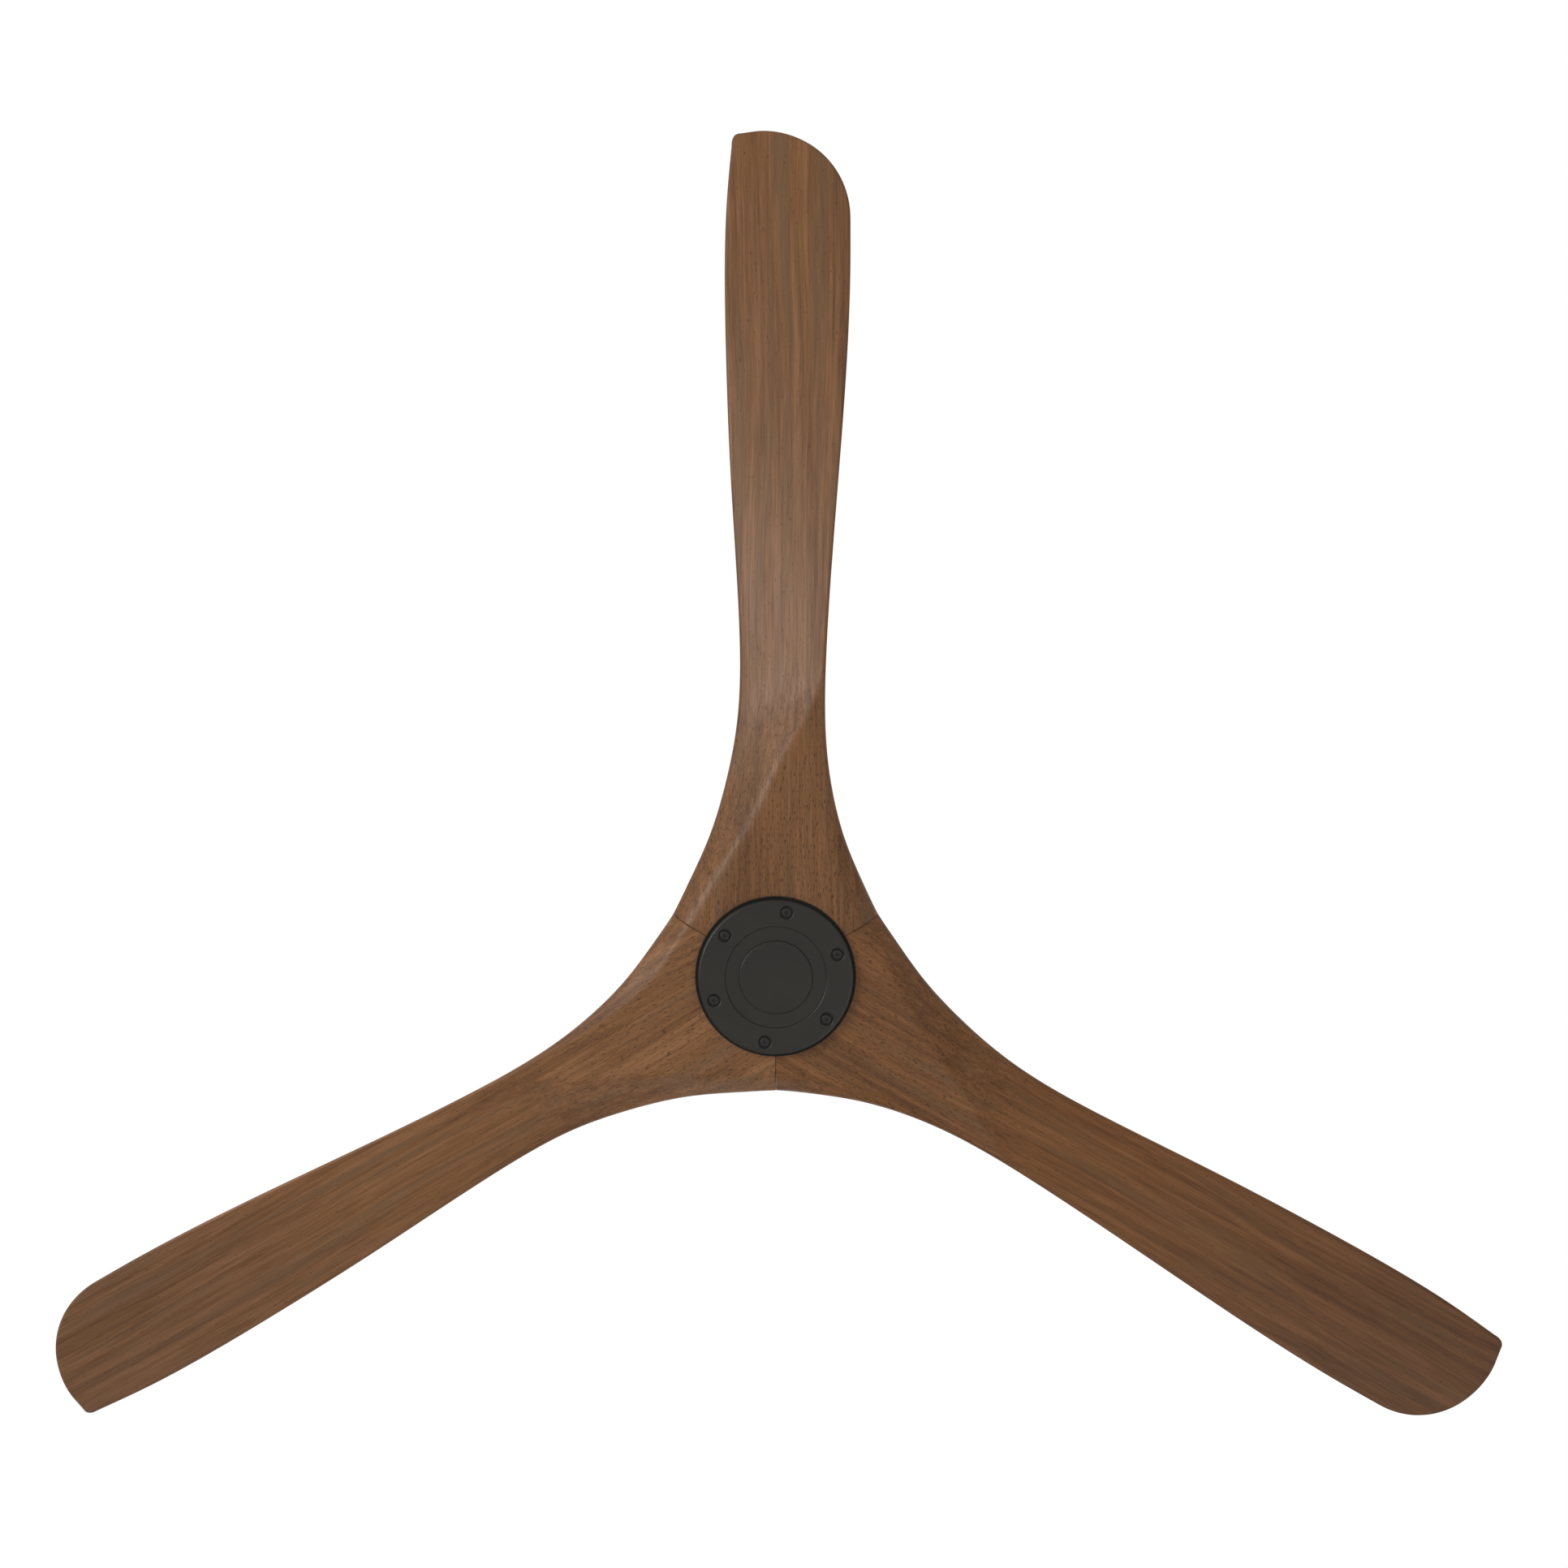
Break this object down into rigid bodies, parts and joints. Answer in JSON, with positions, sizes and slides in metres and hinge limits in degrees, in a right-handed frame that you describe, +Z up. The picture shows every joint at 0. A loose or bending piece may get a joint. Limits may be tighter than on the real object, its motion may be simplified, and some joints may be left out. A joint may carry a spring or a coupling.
{
  "type": "ceiling fan",
  "caption": "Ceiling fan with a carved wooden aeroplane-propeller style rotor on a round dark hub, hung by a ball joint and short downrod from a ceiling canopy.",
  "frame": {"origin": "centre of the hanger bracket's hole pattern on the ceiling face", "axes": "+Z up into the ceiling, along the rotor's axis at rest; +Y along blade 1"},
  "size_m": [1.3393, 1.1745, 0.3167],
  "materials": {
    "zinc_plated_steel": "zinc plated, satin",
    "green_screw": "green passivated",
    "bronze_paint": "dark oil-rubbed bronze powder coat, matte",
    "hub_paint": "matte dark powder coat",
    "black_rubber": "matte",
    "black_plastic": "matte",
    "dark_steel": "black oxide",
    "steel": "ground",
    "cast_metal": "cast, painted",
    "board_green": "solder mask",
    "electronics": "moulded",
    "aluminium_painted": "cast, matte dark powder coat",
    "aluminium_cast": "as cast",
    "lamination_steel": "stamped stack",
    "copper_wire": "enamelled copper",
    "magnet_ferrite": "sintered",
    "brass": "machined",
    "bearing_steel": "ground and polished",
    "walnut_finish_wood": "walnut stain, satin lacquer"
  },
  "bodies": {
    "ceiling_mount": {"hanger_bracket": "zinc_plated_steel", "ground_screw": "green_screw", "canopy": "bronze_paint", "canopy_grommet": "black_rubber", "canopy_screws": "dark_steel"},
    "stem": {"hanger_ball": "black_plastic", "ball_pin": "steel", "ball_lock_screw": "steel", "downrod": "bronze_paint", "coupling": "cast_metal", "clevis_pin": "steel", "hairpin_clip": "steel", "coupling_set_screws": "steel", "coupling_cover": "bronze_paint", "motor_housing": "bronze_paint", "housing_screws": "dark_steel", "driver_board": "board_green", "board_standoffs": "brass", "board_components": "electronics", "motor_shaft": "steel", "shaft_clip": "dark_steel", "stator_carrier": "aluminium_cast", "stator_core": "lamination_steel", "stator_coils": "copper_wire", "upper_bearing_inner_ring": "bearing_steel", "lower_bearing_inner_ring": "bearing_steel"},
    "rotor": {"upper_bearing_outer_ring": "bearing_steel", "lower_bearing_outer_ring": "bearing_steel", "upper_bearing_balls": "bearing_steel", "lower_bearing_balls": "bearing_steel", "upper_bearing_cage": "brass", "lower_bearing_cage": "brass", "motor_drum": "steel", "magnets": "magnet_ferrite", "motor_top_cover": "aluminium_cast", "drum_bolts": "steel", "blade_hub": "aluminium_painted", "blade_gaskets": "black_rubber", "blade_inserts": "brass", "blade_screws": "steel", "hub_plate": "hub_paint", "plate_gasket": "black_rubber", "plate_screws": "dark_steel", "centre_cap": "hub_paint", "blade_1": "walnut_finish_wood", "blade_2": "walnut_finish_wood", "blade_3": "walnut_finish_wood"}
  },
  "joints": [
    {"name": "ball_tilt", "type": "hinge", "parent": "ceiling_mount", "child": "stem", "pos_m": [0, 0, -0.036], "axis": [1, 0, 0], "range_deg": [-18, 18]},
    {"name": "rotor_spin", "type": "hinge", "parent": "stem", "child": "rotor", "pos_m": [0, 0, -0.2405], "axis": [0, 0, 1], "continuous": true}
  ]
}
